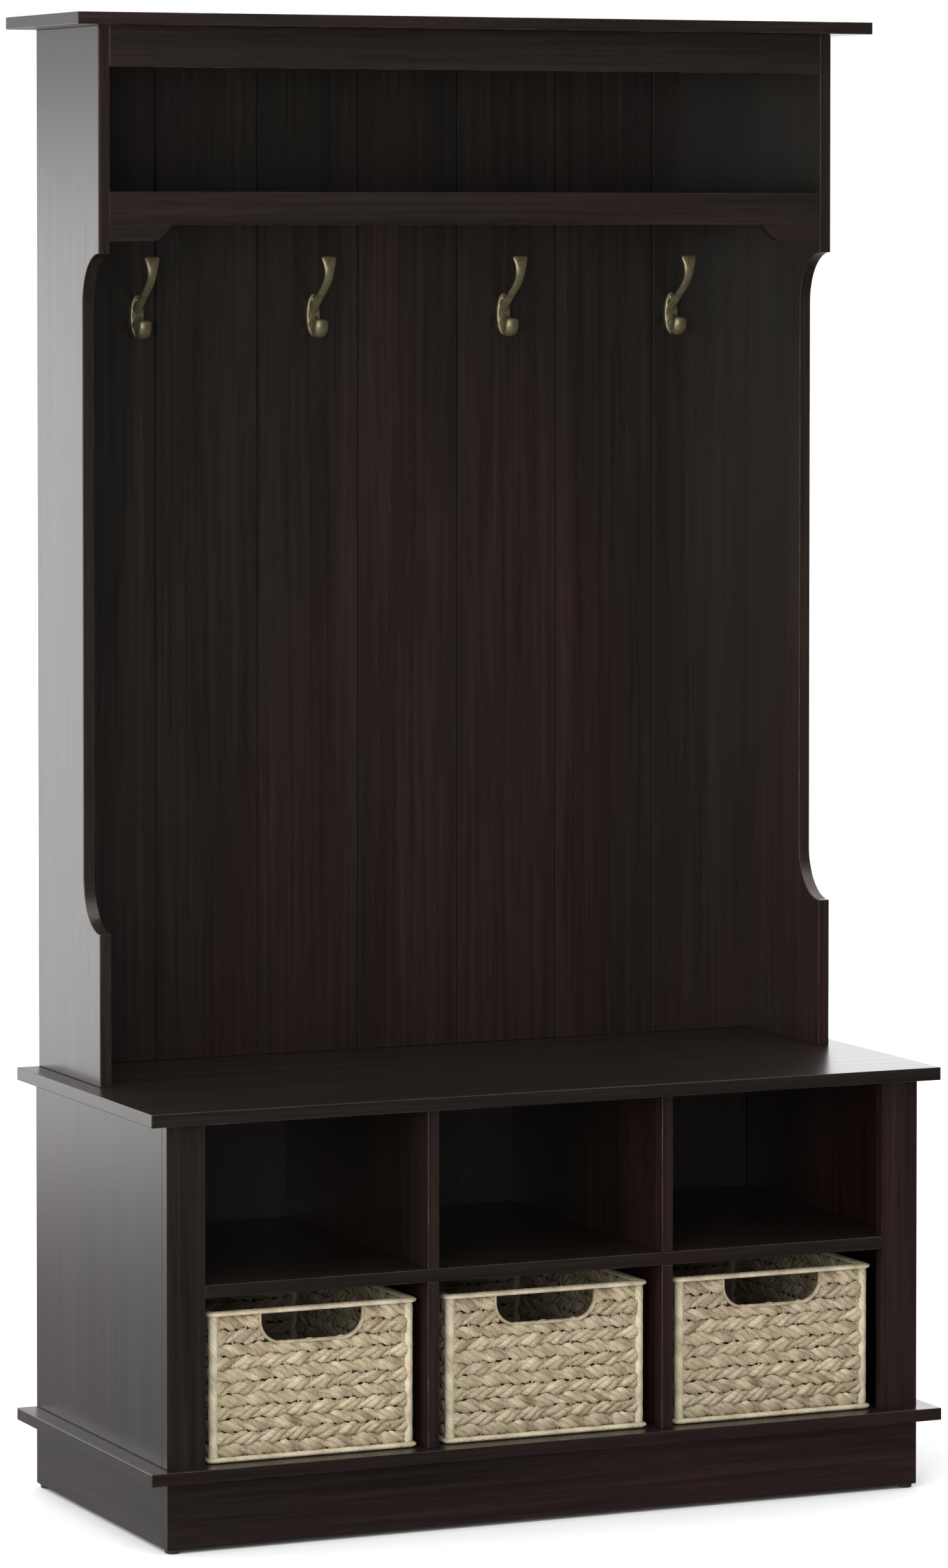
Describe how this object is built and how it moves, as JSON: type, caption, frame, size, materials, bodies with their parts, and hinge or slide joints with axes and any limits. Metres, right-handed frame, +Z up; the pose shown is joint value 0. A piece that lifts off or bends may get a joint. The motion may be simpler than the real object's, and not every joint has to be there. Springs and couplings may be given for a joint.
{
  "type": "hall tree with hooks",
  "caption": "Tall hall tree: a bench with open cubbies over pull-out woven baskets, and a planked hutch with double coat hooks under a high shelf.",
  "frame": {"origin": "on the floor, under the middle of the bounding box", "axes": "+Z up, front faces -Y, +X to the right seen from the front"},
  "size_m": [1.072, 0.468, 1.83],
  "materials": {
    "espresso_wood": "dark espresso stain, satin lacquer, fine grain",
    "brass": "antique brass, satin",
    "seagrass": "woven seagrass, matt",
    "braid": "lighter twisted braid, matt",
    "glide": "black moulded plastic"
  },
  "bodies": {
    "cabinet": {"plinth_front": "espresso_wood", "plinth_back": "espresso_wood", "plinth_side_left": "espresso_wood", "plinth_side_right": "espresso_wood", "glide_front_left": "glide", "glide_front_right": "glide", "glide_rear_left": "glide", "glide_rear_right": "glide", "base_board": "espresso_wood", "bench_side_left": "espresso_wood", "bench_side_right": "espresso_wood", "face_stile_left": "espresso_wood", "face_stile_right": "espresso_wood", "bench_back_panel": "espresso_wood", "middle_shelf": "espresso_wood", "upper_divider_left": "espresso_wood", "lower_divider_left": "espresso_wood", "upper_divider_right": "espresso_wood", "lower_divider_right": "espresso_wood", "bench_top": "espresso_wood", "hutch_side_left": "espresso_wood", "hutch_side_right": "espresso_wood", "hutch_back_panel": "espresso_wood", "top_rail": "espresso_wood", "high_shelf": "espresso_wood", "shelf_fascia": "espresso_wood", "hutch_top": "espresso_wood", "coat_hook_1": "brass", "hook_screw_1_upper": "brass", "hook_screw_1_lower": "brass", "coat_hook_2": "brass", "hook_screw_2_upper": "brass", "hook_screw_2_lower": "brass", "coat_hook_3": "brass", "hook_screw_3_upper": "brass", "hook_screw_3_lower": "brass", "coat_hook_4": "brass", "hook_screw_4_upper": "brass", "hook_screw_4_lower": "brass"},
    "basket_left": {"basket_left_body": "seagrass", "basket_left_rim": "braid", "basket_left_base_braid": "braid"},
    "basket_centre": {"basket_centre_body": "seagrass", "basket_centre_rim": "braid", "basket_centre_base_braid": "braid"},
    "basket_right": {"basket_right_body": "seagrass", "basket_right_rim": "braid", "basket_right_base_braid": "braid"}
  },
  "joints": [
    {"name": "basket_left_slide", "type": "slide", "parent": "cabinet", "child": "basket_left", "axis": [0, -1, 0], "range_m": [0, 0.42]},
    {"name": "basket_centre_slide", "type": "slide", "parent": "cabinet", "child": "basket_centre", "axis": [0, -1, 0], "range_m": [0, 0.42]},
    {"name": "basket_right_slide", "type": "slide", "parent": "cabinet", "child": "basket_right", "axis": [0, -1, 0], "range_m": [0, 0.42]}
  ]
}
